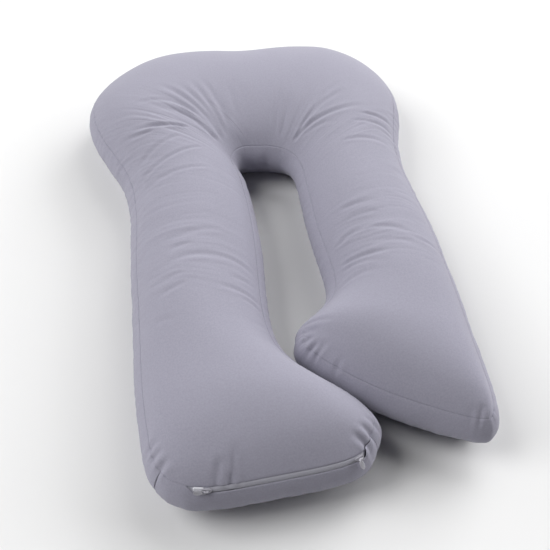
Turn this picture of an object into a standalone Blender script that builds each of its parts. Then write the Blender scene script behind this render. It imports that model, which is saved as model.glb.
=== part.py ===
"""A U-shaped body pillow lying on its back.

Metres, +Z up, origin at the middle of the footprint on the surface it rests on, head end towards +Y.
The filled solid carries the top and bottom panels. A boxing strip runs round its side between two
seams, and the short strip across the zip foot has a zip in its upper seam.
"""
import math

import bmesh
import bpy
import numpy as np
from mathutils import Matrix, Vector

# Levels of the side: both seams and the widest line between them.
TOP_SEAM_Z = 0.110
WIDEST_Z = 0.072
BOTTOM_SEAM_Z = 0.036
# The side bulges as an elliptic arc this deep, between the two seam angles.
SIDE_DEPTH = 0.150
TOP_SEAM_ANGLE = math.radians(27)
BOTTOM_SEAM_ANGLE = math.radians(-30)
# The underside sinks this far below the bottom seam, and the surface flattens it at zero height.
BELLY_DROP = 0.10
# How far from each foot the plan eases from the straight cross lines to the foot's own end curve.
FOOT_BLEND = 0.30

CLOTH = 0.002  # the boxing strips
GAP = 0.0003  # between neighbouring pieces
LEDGE = 0.0015  # the seam allowance standing over each edge of the boxing

# Stations from the zip foot round the head to the other foot, at the widest level:
# outer edge x and y, inner edge x and y, height of the crown.
STATIONS = (
    # outer_x, outer_y, inner_x, inner_y, crown
    (-0.293, -0.648, 0.095, -0.626, 0.178),
    (-0.311, -0.590, 0.108, -0.575, 0.181),
    (-0.319, -0.480, 0.052, -0.494, 0.182),
    (-0.320, -0.370, -0.029, -0.408, 0.181),
    (-0.320, -0.250, -0.050, -0.285, 0.180),
    (-0.320, -0.125, -0.043, -0.145, 0.179),
    (-0.316, 0.015, -0.042, -0.015, 0.178),
    (-0.333, 0.140, -0.047, 0.070, 0.178),
    (-0.380, 0.260, -0.054, 0.128, 0.180),
    (-0.407, 0.372, -0.062, 0.163, 0.182),
    (-0.386, 0.482, -0.050, 0.186, 0.183),
    (-0.290, 0.592, -0.030, 0.190, 0.183),
    (-0.147, 0.637, -0.010, 0.188, 0.182),
    (0.003, 0.625, 0.006, 0.186, 0.182),
    (0.150, 0.625, 0.020, 0.181, 0.182),
    (0.268, 0.584, 0.034, 0.174, 0.183),
    (0.345, 0.472, 0.048, 0.161, 0.182),
    (0.362, 0.335, 0.060, 0.135, 0.180),
    (0.331, 0.200, 0.065, 0.080, 0.178),
    (0.321, 0.065, 0.064, -0.008, 0.178),
    (0.332, -0.078, 0.066, -0.105, 0.178),
    (0.336, -0.215, 0.073, -0.206, 0.180),
    (0.336, -0.335, 0.060, -0.286, 0.181),
    (0.333, -0.450, 0.004, -0.338, 0.182),
    (0.329, -0.572, -0.012, -0.372, 0.182),
    (0.310, -0.620, -0.010, -0.418, 0.178),
)
# The feet's end curves between their corners, x and y at the widest level.
PLAIN_FOOT_END = ((0.262, -0.623), (0.140, -0.558), (0.055, -0.492))
ZIP_FOOT_END = ((0.048, -0.672), (-0.090, -0.690), (-0.228, -0.692))

# Mesh divisions: along the pillow, and across it.
ALONG = 74
ACROSS = 12
# Levels of the boxing between the seams, as shares of the way up from the bottom seam.
SIDE_LEVELS = (0.22, 0.5, 0.78)

# The zip, whose places run along the zip foot's end: 0 at the toe, 1 at the outer corner.
ZIP_FROM = 0.175
ZIP_TO = 0.755
ZIP_TAPER = 0.04  # the boxing rises back to the seam over this share past each end
TAPE_WIDTH = 0.0105
TAPE_THICK = 0.0010
TEETH_WIDTH = 0.0034
TEETH_HEIGHT = 0.0012
SLIDER = (0.0160, 0.0098, 0.0038)
ARCH = (0.0080, 0.0023, 0.0054)
ARCH_WALL = 0.0012
ARCH_ROOT = 0.0004  # how deep the bridge stands in the slider's body
PULL = (0.0205, 0.0095, 0.0013)
EYE = (0.0038, 0.0036)
BAR = 0.0011  # the pull's own end, past its eye

FABRIC = (0.375, 0.368, 0.445)
TAPE_GREY = (0.40, 0.40, 0.46)
TEETH_GREY = (0.52, 0.52, 0.56)
METAL_GREY = (0.60, 0.60, 0.62)
TAPE_WHITE = (0.80, 0.80, 0.82)


def clear_scene():
    for old in list(bpy.data.objects):
        bpy.data.objects.remove(old)


def finish(name, colour, roughness=0.9, metallic=0.0):
    material = bpy.data.materials.new(name)
    material.use_nodes = True
    shader = material.node_tree.nodes["Principled BSDF"]
    shader.inputs["Base Color"].default_value = (*colour, 1)
    shader.inputs["Roughness"].default_value = roughness
    shader.inputs["Metallic"].default_value = metallic
    return material


def add_object(name, bm, material, smooth_under=50):
    bmesh.ops.recalc_face_normals(bm, faces=bm.faces)
    mesh = bpy.data.meshes.new(name)
    bm.to_mesh(mesh)
    bm.free()
    mesh.materials.append(material)
    mesh.shade_smooth()
    mesh.set_sharp_from_angle(angle=math.radians(smooth_under))
    built = bpy.data.objects.new(name, mesh)
    bpy.context.scene.collection.objects.link(built)
    return built


class Outline:
    """The closed plan curve at the widest level, through the stations and the feet's end points.

    Its parameter counts the points: the outer edge, the plain foot's end, the inner edge back, and
    the zip foot's end.
    """

    def __init__(self):
        table = np.array(STATIONS)
        points = np.vstack([table[:, 0:2], PLAIN_FOOT_END, table[::-1, 2:4], ZIP_FOOT_END])
        self.rows = len(table)
        self.plain_end = self.rows - 1
        self.inner_start = self.plain_end + len(PLAIN_FOOT_END) + 1
        self.zip_end = self.inner_start + self.rows - 1
        self.total = len(points)
        self.points = points
        self.bend = self.second_derivatives(points)
        fine = self.at(np.linspace(0, self.total, 2000))[0]
        self.centre = (fine.min(axis=0) + fine.max(axis=0)) / 2

    @staticmethod
    def second_derivatives(points):
        """Those of the periodic cubic spline with evenly spaced knots."""
        unit = np.eye(len(points))
        system = 4 * unit + np.roll(unit, 1, axis=0) + np.roll(unit, -1, axis=0)
        right = 6 * (np.roll(points, -1, axis=0) - 2 * points + np.roll(points, 1, axis=0))
        return np.linalg.solve(system, right)

    def at(self, u):
        """Plan points and outward unit normals at the parameters u."""
        u = np.asarray(u, float)
        whole = np.floor(u).astype(int)
        f = (u - whole)[:, None]
        a, b = whole % self.total, (whole + 1) % self.total
        g = 1 - f
        place = self.points[a] * g + self.points[b] * f
        place += (g**3 - g) * self.bend[a] / 6 + (f**3 - f) * self.bend[b] / 6
        along = self.points[b] - self.points[a]
        along += (1 - 3 * g**2) * self.bend[a] / 6 + (3 * f**2 - 1) * self.bend[b] / 6
        along /= np.linalg.norm(along, axis=1)[:, None]
        return place, np.column_stack([-along[:, 1], along[:, 0]])


OUTLINE = Outline()


def side_rise(angle):
    """How far the side's ellipse would reach above or below its widest level."""
    if angle >= 0:
        return (TOP_SEAM_Z - WIDEST_Z) / math.sin(TOP_SEAM_ANGLE)
    return (WIDEST_Z - BOTTOM_SEAM_Z) / -math.sin(BOTTOM_SEAM_ANGLE)


def side_slope(angle):
    """The side's outward normal at an angle: its share in the plan and its share upwards."""
    level = side_rise(angle) * math.cos(angle)
    upward = SIDE_DEPTH * math.sin(angle)
    length = math.hypot(level, upward)
    return level / length, upward / length


def side_arc(angle):
    """Metres of the side's arc for each radian at an angle."""
    return math.hypot(side_rise(angle) * math.cos(angle), SIDE_DEPTH * math.sin(angle))


def side_points(u, angle, out=0.0):
    """Points of the bulging side at one angle, moved out of its surface by that much."""
    place, outward = OUTLINE.at(u)
    level, upward = side_slope(angle)
    inset = SIDE_DEPTH * (1 - math.cos(angle)) - out * level
    flat = place - outward * inset - OUTLINE.centre
    height = WIDEST_Z + side_rise(angle) * math.sin(angle) + out * upward
    return np.column_stack([flat, np.full(len(flat), height)])


def below_top_seam(distance):
    return TOP_SEAM_ANGLE - distance / side_arc(TOP_SEAM_ANGLE)


def above_bottom_seam(distance):
    return BOTTOM_SEAM_ANGLE + distance / side_arc(BOTTOM_SEAM_ANGLE)


def runs():
    """The parameters round the outline: outer edge, plain end, inner edge from zip foot, zip end."""
    outer = np.linspace(0, OUTLINE.rows - 1, ALONG + 1)
    plain = OUTLINE.plain_end + np.linspace(0, OUTLINE.inner_start - OUTLINE.plain_end, ACROSS + 1)
    inner = OUTLINE.zip_end - outer
    zipped = OUTLINE.zip_end + np.linspace(0, OUTLINE.total - OUTLINE.zip_end, ACROSS + 1)
    return outer, plain, inner, zipped


def perimeter():
    outer, plain, inner, zipped = runs()
    return np.concatenate([outer, plain[1:-1], inner[::-1], zipped[1:-1]])


def quarter(share, angle):
    """Rise from 0 at a seam to 1 at the crown, along the elliptic section, at that share of the way."""
    cosine = math.cos(angle) * (1 - np.clip(share, 0, 1))
    return (np.sqrt(1 - cosine**2) - math.sin(angle)) / (1 - math.sin(angle))


def panel(angle):
    """The plan points of a panel as rows along and columns across, and its rise from 0 to 1."""
    outer_u, plain_u, inner_u, zip_u = runs()
    outer = side_points(outer_u, angle)[:, :2]
    inner = side_points(inner_u, angle)[:, :2]
    plain_end = side_points(plain_u, angle)[:, :2]
    zip_end = side_points(zip_u, angle)[::-1, :2]
    turn = np.linspace(abs(angle), math.pi - abs(angle), ACROSS + 1)
    across = 0.5 * (1 - np.cos(turn) / math.cos(angle))
    rise_across = (np.sin(turn) - math.sin(abs(angle))) / (1 - math.sin(abs(angle)))

    middle = (outer + inner) / 2
    step = np.linalg.norm(np.diff(middle, axis=0), axis=1)
    from_zip = np.concatenate([[0], np.cumsum(step)])
    from_plain = from_zip[-1] - from_zip
    crown_reach = SIDE_DEPTH * math.cos(angle)
    rise_along = quarter(from_zip / crown_reach, abs(angle)) * quarter(from_plain / crown_reach, abs(angle))

    share = across[None, :, None]
    grid = outer[:, None] * (1 - share) + inner[:, None] * share
    for end, distance, row in ((zip_end, from_zip, 0), (plain_end, from_plain, -1)):
        even = np.linspace(0, 1, ACROSS + 1)
        curve = np.column_stack([np.interp(across, even, end[:, k]) for k in (0, 1)])
        ease = (1 - np.clip(distance / FOOT_BLEND, 0, 1)) ** 2
        grid = grid + ease[:, None, None] * (curve - grid[row])[None]
    return grid, rise_along[:, None] * rise_across[None]


def top_panel():
    grid, rise = panel(TOP_SEAM_ANGLE)
    crown = np.interp(runs()[0], range(OUTLINE.rows), [row[4] for row in STATIONS])
    return np.dstack([grid, TOP_SEAM_Z + (crown[:, None] - TOP_SEAM_Z) * rise])


def bottom_panel():
    grid, rise = panel(BOTTOM_SEAM_ANGLE)
    return np.dstack([grid, np.maximum(BOTTOM_SEAM_Z - BELLY_DROP * rise, 0)])


def rim(count_along, count_across):
    """Indices of a grid's border, in the order of perimeter()."""
    def index(row, column):
        return row * (count_across + 1) + column

    outer = [index(row, 0) for row in range(count_along + 1)]
    plain = [index(count_along, column) for column in range(1, count_across)]
    inner = [index(row, count_across) for row in range(count_along, -1, -1)]
    zipped = [index(0, column) for column in range(count_across - 1, 0, -1)]
    return outer + plain + inner + zipped


def add_grid(bm, grid):
    verts = [bm.verts.new(point) for point in grid.reshape(-1, 3)]
    width = grid.shape[1]
    for row in range(grid.shape[0] - 1):
        for column in range(width - 1):
            a = row * width + column
            bm.faces.new([verts[a], verts[a + 1], verts[a + width + 1], verts[a + width]])
    return verts


def bridge(bm, lower, upper):
    for k in range(len(lower)):
        n = (k + 1) % len(lower)
        bm.faces.new([lower[k], lower[n], upper[n], upper[k]])


def level_angle(share):
    return BOTTOM_SEAM_ANGLE + share * (TOP_SEAM_ANGLE - BOTTOM_SEAM_ANGLE)


def build_pillow(material):
    """The filled solid: both panels, and between them a side sunk by the boxing that covers it."""
    bm = bmesh.new()
    border = rim(ALONG, ACROSS)
    top = add_grid(bm, top_panel())
    bottom = add_grid(bm, bottom_panel())
    u = perimeter()
    angles = [above_bottom_seam(LEDGE)]
    angles += [level_angle(share) for share in SIDE_LEVELS]
    angles += [below_top_seam(LEDGE)]
    rings = [[bottom[k] for k in border]]
    for angle in angles:
        rings.append([bm.verts.new(point) for point in side_points(u, angle, -CLOTH - GAP)])
    rings.append([top[k] for k in border])
    for lower, upper in zip(rings, rings[1:]):
        bridge(bm, lower, upper)
    return add_object("pillow_body", bm, material)


def sweep(bm, sections):
    """A closed solid through open-ended cross-sections, each a ring of points, with both ends filled."""
    rings = [[bm.verts.new(point) for point in section] for section in sections]
    for first, second in zip(rings, rings[1:]):
        bridge(bm, first, second)
    bm.faces.new(rings[0])
    bm.faces.new(rings[-1])


def boxing_sections(u, top_drop):
    """Cross-sections of a boxing strip at the parameters u, its top edge lowered by top_drop."""
    edge = LEDGE + 2 * GAP
    sections = []
    for place, drop in zip(u, top_drop):
        angles = [above_bottom_seam(edge)]
        angles += [level_angle(share) for share in SIDE_LEVELS]
        angles += [below_top_seam(edge + drop)]
        here = np.array([place])
        outside = [side_points(here, angle)[0] for angle in angles]
        inside = [side_points(here, angle, -CLOTH)[0] for angle in reversed(angles)]
        sections.append(outside + inside)
    return sections


def zip_parameter(share):
    return OUTLINE.zip_end + share * (OUTLINE.total - OUTLINE.zip_end)


def build_boxing(material):
    """The long strip from the outer corner of the zip foot round to its toe, and the zip foot's own."""
    joint = 0.006  # in stations, about half a millimetre at each end join
    u = perimeter()
    first_zip = len(u) - (ACROSS - 1)
    long_u = u[:first_zip].copy()
    long_u[0] += joint
    long_u[-1] -= joint
    bm = bmesh.new()
    sweep(bm, boxing_sections(long_u, np.zeros(len(long_u))))
    add_object("boxing_long", bm, material)

    shares = set(np.linspace(0, 1, 2 * ACROSS + 1))
    shares |= {ZIP_FROM - ZIP_TAPER, ZIP_FROM, ZIP_TO, ZIP_TO + ZIP_TAPER}
    shares = np.array(sorted(shares))
    opened = np.interp(shares, (ZIP_FROM - ZIP_TAPER, ZIP_FROM, ZIP_TO, ZIP_TO + ZIP_TAPER), (0, 1, 1, 0))
    short_u = zip_parameter(shares)
    short_u[0] += joint
    short_u[-1] -= joint
    bm = bmesh.new()
    sweep(bm, boxing_sections(short_u, (TAPE_WIDTH + GAP) * opened))
    add_object("boxing_zip_foot", bm, material)


def zip_band(name, centre, width, lift, thick, start, end, material, count=22):
    """A band along the zip: centre is its middle line's distance below the seam, lift its underside."""
    corners = (
        (centre - width / 2, lift),
        (centre + width / 2, lift),
        (centre + width / 2, lift + thick),
        (centre - width / 2, lift + thick),
    )
    places = zip_parameter(np.linspace(start, end, count))
    bm = bmesh.new()
    sweep(bm, [[seam_point(u, below, out) for below, out in corners] for u in places])
    return add_object(name, bm, material)


def seam_point(u, below, out):
    """The point that far below the top seam along the side, and that far out from its surface."""
    return Vector(side_points(np.array([u]), below_top_seam(below), out)[0])


def zip_frame(share, below, out):
    """The matrix of a place on the zip: X along it, Y up the slope, Z out of the side."""
    u = zip_parameter(share)
    outward = OUTLINE.at(np.array([u]))[1][0]
    level, upward = side_slope(below_top_seam(below))
    normal = Vector((outward[0] * level, outward[1] * level, upward))
    along = Vector((-outward[1], outward[0], 0))
    turned = Matrix((along, normal.cross(along), normal)).transposed().to_4x4()
    return Matrix.Translation(seam_point(u, below, out)) @ turned


def bevelled_block(size, centre, bevel, end_share):
    """A block with its +X end narrowed to end_share of its width, all edges rounded off."""
    bm = bmesh.new()
    bmesh.ops.create_cube(bm, size=1)
    for vert in bm.verts:
        if vert.co.x > 0:
            vert.co.y *= end_share
        vert.co = Vector(a * b for a, b in zip(vert.co, size)) + Vector(centre)
    bmesh.ops.bevel(bm, geom=list(bm.edges), offset=bevel, segments=1, affect="EDGES", profile=0.5)
    return bm


def helper(name, bm):
    mesh = bpy.data.meshes.new(name)
    bmesh.ops.recalc_face_normals(bm, faces=bm.faces)
    bm.to_mesh(mesh)
    bm.free()
    made = bpy.data.objects.new(name, mesh)
    made.hide_render = True
    made.display_type = "WIRE"
    bpy.context.scene.collection.objects.link(made)
    return made


def boolean(target, tool, operation):
    modifier = target.modifiers.new(tool.name, "BOOLEAN")
    modifier.operation = operation
    modifier.object = tool


def prism(outline, low, high):
    """An outline in the XY plane extruded between two heights."""
    bm = bmesh.new()
    base = bm.faces.new([bm.verts.new((x, y, low)) for x, y in outline])
    top = bmesh.ops.extrude_face_region(bm, geom=[base])["geom"]
    lifted = [item for item in top if isinstance(item, bmesh.types.BMVert)]
    bmesh.ops.translate(bm, verts=lifted, vec=(0, 0, high - low))
    return bm


def build_slider(name, place, material):
    """The slider's body with the bridge that holds its pull."""
    height = SLIDER[2]
    slider = add_object(name, bevelled_block(SLIDER, (0, 0, height / 2), 0.0006, 0.72), material, 30)
    arch = helper(f"{name}_arch", bevelled_block(ARCH, (0, 0, height + ARCH[2] / 2 - ARCH_ROOT), 0.0004, 1))
    opening = (ARCH[0] - 2 * ARCH_WALL, 3 * ARCH[1], ARCH[2] - ARCH_WALL - ARCH_ROOT)
    hole = helper(f"{name}_hole", bevelled_block(opening, (0, 0, height + opening[2] / 2), 0.0002, 1))
    boolean(slider, arch, "UNION")
    boolean(slider, hole, "DIFFERENCE")
    for made in (slider, arch, hole):
        made.matrix_world = place


def leaf(length, width, steps=7):
    """A pull's outline along -X: a narrow eye end, swelling to a broad round tip."""
    half = []
    for k in range(steps + 1):
        share = k / steps
        x = -length * (1 - math.cos(math.pi * share)) / 2
        swell = 0.36 + 0.14 * share
        half.append((x, width * swell * math.sin(math.pi * (0.14 + 0.80 * share)) ** 0.55))
    return half + [(x, -y) for x, y in reversed(half)]


def build_pull(name, place, material):
    """The pull, with the eye that takes the slider's bridge; its bar's middle is at the origin."""
    length, width, thick = PULL
    pull = add_object(name, prism(leaf(length, width), -thick / 2, thick / 2), material, 30)
    hole = helper(f"{name}_eye", bevelled_block((*EYE, 3 * thick), (-BAR - EYE[0] / 2, 0, 0), 0.0003, 1))
    boolean(pull, hole, "DIFFERENCE")
    for made in (pull, hole):
        made.matrix_world = place


def build_zip():
    tape = finish("tape_grey", TAPE_GREY)
    teeth = finish("teeth_grey", TEETH_GREY, 0.5)
    metal = finish("slider_grey", METAL_GREY, 0.35, 0.6)
    white = finish("tape_white", TAPE_WHITE)
    middle = LEDGE + 2 * GAP + TAPE_WIDTH / 2
    tape_top = -0.0004
    zip_band("zip_tape", middle, TAPE_WIDTH - 2 * GAP, tape_top - TAPE_THICK, TAPE_THICK, ZIP_FROM, ZIP_TO, tape)
    teeth_ends = (ZIP_FROM + 0.055, ZIP_TO - 0.060)
    zip_band("zip_teeth", middle, TEETH_WIDTH, tape_top + GAP, TEETH_HEIGHT, *teeth_ends, teeth)
    zip_band("zip_tape_end", middle, 0.006, tape_top + GAP, 0.0008, ZIP_TO - 0.036, ZIP_TO + 0.002, white, 4)

    over_teeth = tape_top + TEETH_HEIGHT + 2 * GAP
    left = zip_frame(ZIP_TO - 0.052, middle, over_teeth) @ Matrix.Rotation(math.radians(6), 4, "Z")
    build_slider("zip_slider_left", left, metal)
    under_arch = Matrix.Translation((-ARCH[0] / 2 + ARCH_WALL + BAR + GAP, 0, SLIDER[2] + PULL[2] / 2 + GAP))
    build_pull("zip_pull_left", left @ under_arch, metal)

    right = zip_frame(ZIP_FROM + 0.050, middle, over_teeth) @ Matrix.Rotation(math.radians(-8), 4, "Z")
    build_slider("zip_slider_right", right, metal)
    beam = Matrix.Translation((0, ARCH[1] / 2 + BAR + GAP, SLIDER[2] + ARCH[2] - ARCH_ROOT - ARCH_WALL / 2))
    on_edge = Matrix.Rotation(math.radians(90), 4, "Z") @ Matrix.Rotation(math.radians(90), 4, "X")
    build_pull("zip_pull_right", right @ beam @ on_edge, metal)


def main():
    clear_scene()
    fabric = finish("brushed_fabric", FABRIC)
    build_pillow(fabric)
    build_boxing(fabric)
    build_zip()


main()
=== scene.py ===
"""The looks of a U-shaped body pillow: its brushed cloth, folds, seams, boxing and zip."""
import math

import bmesh
import bpy
import numpy as np
from mathutils import Matrix, Vector


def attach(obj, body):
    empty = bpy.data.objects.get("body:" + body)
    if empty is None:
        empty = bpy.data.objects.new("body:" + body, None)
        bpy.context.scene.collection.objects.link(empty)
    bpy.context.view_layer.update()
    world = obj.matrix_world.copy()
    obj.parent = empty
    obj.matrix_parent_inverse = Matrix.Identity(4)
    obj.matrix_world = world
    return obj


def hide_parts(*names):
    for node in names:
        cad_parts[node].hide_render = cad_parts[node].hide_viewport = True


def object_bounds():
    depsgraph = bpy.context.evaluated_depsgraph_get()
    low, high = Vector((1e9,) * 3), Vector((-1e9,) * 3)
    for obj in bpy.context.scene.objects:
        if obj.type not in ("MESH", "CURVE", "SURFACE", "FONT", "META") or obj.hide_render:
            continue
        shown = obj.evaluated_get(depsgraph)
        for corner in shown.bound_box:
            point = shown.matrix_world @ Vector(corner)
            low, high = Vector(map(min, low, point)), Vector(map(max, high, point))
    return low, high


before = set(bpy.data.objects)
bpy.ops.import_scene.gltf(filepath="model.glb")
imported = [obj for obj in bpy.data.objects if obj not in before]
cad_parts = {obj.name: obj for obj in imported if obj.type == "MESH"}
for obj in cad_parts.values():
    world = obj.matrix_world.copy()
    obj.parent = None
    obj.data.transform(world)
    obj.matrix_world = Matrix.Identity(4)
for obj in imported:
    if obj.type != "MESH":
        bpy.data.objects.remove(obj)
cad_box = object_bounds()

BODY = "root"

# ---------------------------------------------------------------- the pillow's own sizes, metres

TOP_SEAM_Z = 0.110
WIDEST_Z = 0.072
BOTTOM_SEAM_Z = 0.036
SIDE_DEPTH = 0.150
TOP_SEAM_ANGLE = math.radians(27)
BOTTOM_SEAM_ANGLE = math.radians(-30)
BELLY_DROP = 0.10
FOOT_BLEND = 0.30
CLOTH = 0.0012

# Stations from the zip foot round the head to the other foot, at the widest level, as the solid has
# them: outer edge x and y, inner edge x and y, height of the crown.
STATIONS = (
    # outer_x, outer_y, inner_x, inner_y, crown
    (-0.293, -0.648, 0.095, -0.626, 0.178),
    (-0.311, -0.590, 0.108, -0.575, 0.181),
    (-0.319, -0.480, 0.052, -0.494, 0.182),
    (-0.320, -0.370, -0.029, -0.408, 0.181),
    (-0.320, -0.250, -0.050, -0.285, 0.180),
    (-0.320, -0.125, -0.043, -0.145, 0.179),
    (-0.316, 0.015, -0.042, -0.015, 0.178),
    (-0.333, 0.140, -0.047, 0.070, 0.178),
    (-0.380, 0.260, -0.054, 0.128, 0.180),
    (-0.407, 0.372, -0.062, 0.163, 0.182),
    (-0.386, 0.482, -0.050, 0.186, 0.183),
    (-0.290, 0.592, -0.030, 0.190, 0.183),
    (-0.147, 0.637, -0.010, 0.188, 0.182),
    (0.003, 0.625, 0.006, 0.186, 0.182),
    (0.150, 0.625, 0.020, 0.181, 0.182),
    (0.268, 0.584, 0.034, 0.174, 0.183),
    (0.345, 0.472, 0.048, 0.161, 0.182),
    (0.362, 0.335, 0.060, 0.135, 0.180),
    (0.331, 0.200, 0.065, 0.080, 0.178),
    (0.321, 0.065, 0.064, -0.008, 0.178),
    (0.332, -0.078, 0.066, -0.105, 0.178),
    (0.336, -0.215, 0.073, -0.206, 0.180),
    (0.336, -0.335, 0.060, -0.286, 0.181),
    (0.333, -0.450, 0.004, -0.338, 0.182),
    (0.329, -0.572, -0.012, -0.372, 0.182),
    (0.310, -0.620, -0.010, -0.418, 0.178),
)
PLAIN_FOOT_END = ((0.262, -0.623), (0.140, -0.558), (0.055, -0.492))
ZIP_FOOT_END = ((0.048, -0.672), (-0.090, -0.690), (-0.228, -0.692))

# The zip, whose places run along the zip foot's end: 0 at the toe, 1 at the outer corner.
ZIP_FROM = 0.175
ZIP_TO = 0.755
ZIP_TAPER = 0.04
TAPE_WIDTH = 0.0105
TAPE_BEYOND = 0.036
TAPE_TUCK = 0.0018
TAPE_TUCK_RUN = 0.012
DENT_FADE = 0.0025

# Where the folded end of the toe's boxing lies beside the zip, and how far it stands out.
FLAP_EDGE = 0.150
FLAP_RISE = 0.0030
FLAP_WIDTH = 0.0115

# The seams: how far both edges turn in, and over what width.
SEAM_SINK = 0.0007
SEAM_ROLL = 0.0024

# The panels leave their seams at the side's own slope: they sink by this share of the distance, at first.
PANEL_LEAN = 0.14
PANEL_LEAN_REACH = 0.016

# Mesh steps: fine ones beside each seam, then an even step.
SEAM_STEPS = (0, 0.0010, 0.0022, 0.0036, 0.0054, 0.0080, 0.0115)
ALONG = 860
ACROSS = 92

FOLD_START = 0.024

# Folds of the top panel away from its seams: each is a trough between two soft ridges along a curve
# through three places, fading out at both ends, with its half width and depth.
FOLDS = (
    # x1, y1, x2, y2, x3, y3, half_width, depth
    # the head's left corner, fanning out from the inner seam
    (-0.052, 0.241, -0.073, 0.342, -0.112, 0.440, 0.0055, 0.0014),
    (-0.056, 0.237, -0.093, 0.333, -0.140, 0.439, 0.0055, 0.0022),
    (-0.064, 0.232, -0.109, 0.328, -0.170, 0.412, 0.0060, 0.0028),
    (-0.068, 0.226, -0.136, 0.337, -0.224, 0.423, 0.0060, 0.0034),
    (-0.087, 0.237, -0.149, 0.322, -0.255, 0.389, 0.0060, 0.0017),
    (-0.077, 0.218, -0.146, 0.287, -0.214, 0.322, 0.0060, 0.0031),
    (-0.141, 0.244, -0.212, 0.250, -0.291, 0.257, 0.0050, 0.0036),
    (-0.220, 0.237, -0.261, 0.237, -0.310, 0.253, 0.0045, 0.0023),
    (-0.160, 0.212, -0.225, 0.180, -0.279, 0.138, 0.0055, 0.0013),
    (-0.108, 0.181, -0.219, 0.129, -0.273, 0.098, 0.0050, 0.0016),
    (-0.105, 0.099, -0.205, 0.085, -0.273, 0.064, 0.0055, 0.0012),
    (-0.110, 0.282, -0.202, 0.346, -0.284, 0.336, 0.0055, 0.0015),
    # the head's right corner
    (0.091, 0.214, 0.170, 0.251, 0.294, 0.272, 0.0055, 0.0032),
    (0.095, 0.218, 0.169, 0.290, 0.245, 0.336, 0.0055, 0.0019),
    (0.106, 0.230, 0.183, 0.321, 0.234, 0.370, 0.0060, 0.0012),
    (0.240, 0.240, 0.311, 0.243, 0.344, 0.262, 0.0045, 0.0027),
    (0.219, 0.212, 0.302, 0.213, 0.334, 0.219, 0.0045, 0.0019),
    (0.286, 0.191, 0.312, 0.194, 0.338, 0.200, 0.0040, 0.0015),
    (0.187, 0.144, 0.255, 0.149, 0.326, 0.147, 0.0050, 0.0017),
    (0.097, 0.210, 0.151, 0.225, 0.200, 0.219, 0.0050, 0.0013),
    # the middle of the head
    (0.054, 0.238, 0.069, 0.315, 0.089, 0.390, 0.0060, 0.0014),
    (0.064, 0.234, 0.086, 0.293, 0.112, 0.376, 0.0060, 0.0012),
    (-0.045, 0.263, -0.060, 0.321, -0.073, 0.401, 0.0060, 0.0010),
    (-0.029, 0.293, -0.035, 0.345, -0.042, 0.419, 0.0060, 0.0008),
    # across the left leg
    (-0.044, -0.200, -0.149, -0.176, -0.254, -0.194, 0.0060, 0.0019),
    (-0.098, -0.104, -0.160, -0.108, -0.253, -0.130, 0.0065, 0.0012),
    (-0.157, -0.141, -0.192, -0.145, -0.217, -0.154, 0.0050, 0.0014),
    (-0.182, -0.221, -0.215, -0.224, -0.262, -0.228, 0.0050, 0.0013),
    (-0.176, -0.245, -0.213, -0.254, -0.258, -0.264, 0.0050, 0.0012),
    (-0.040, -0.274, -0.091, -0.265, -0.142, -0.257, 0.0050, 0.0019),
    (-0.049, -0.236, -0.077, -0.232, -0.111, -0.235, 0.0045, 0.0015),
    (-0.044, -0.296, -0.068, -0.285, -0.101, -0.283, 0.0045, 0.0014),
    (-0.037, -0.342, -0.056, -0.339, -0.086, -0.345, 0.0055, 0.0008),
    (-0.204, -0.330, -0.236, -0.321, -0.259, -0.320, 0.0060, 0.0008),
    # across the right leg
    (0.119, -0.199, 0.168, -0.212, 0.228, -0.217, 0.0045, 0.0028),
    (0.118, -0.218, 0.153, -0.222, 0.199, -0.236, 0.0050, 0.0019),
    (0.100, -0.259, 0.145, -0.253, 0.200, -0.266, 0.0050, 0.0012),
    (0.119, -0.154, 0.152, -0.142, 0.195, -0.142, 0.0050, 0.0019),
    (0.187, -0.145, 0.235, -0.152, 0.284, -0.170, 0.0055, 0.0018),
    (0.203, -0.190, 0.245, -0.192, 0.294, -0.202, 0.0055, 0.0015),
    (0.266, -0.184, 0.312, -0.186, 0.341, -0.194, 0.0050, 0.0013),
    (0.145, -0.067, 0.180, -0.067, 0.231, -0.065, 0.0055, 0.0013),
    (0.150, -0.100, 0.190, -0.098, 0.240, -0.104, 0.0055, 0.0010),
    (0.260, -0.036, 0.304, -0.030, 0.335, -0.025, 0.0055, 0.0012),
)

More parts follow.
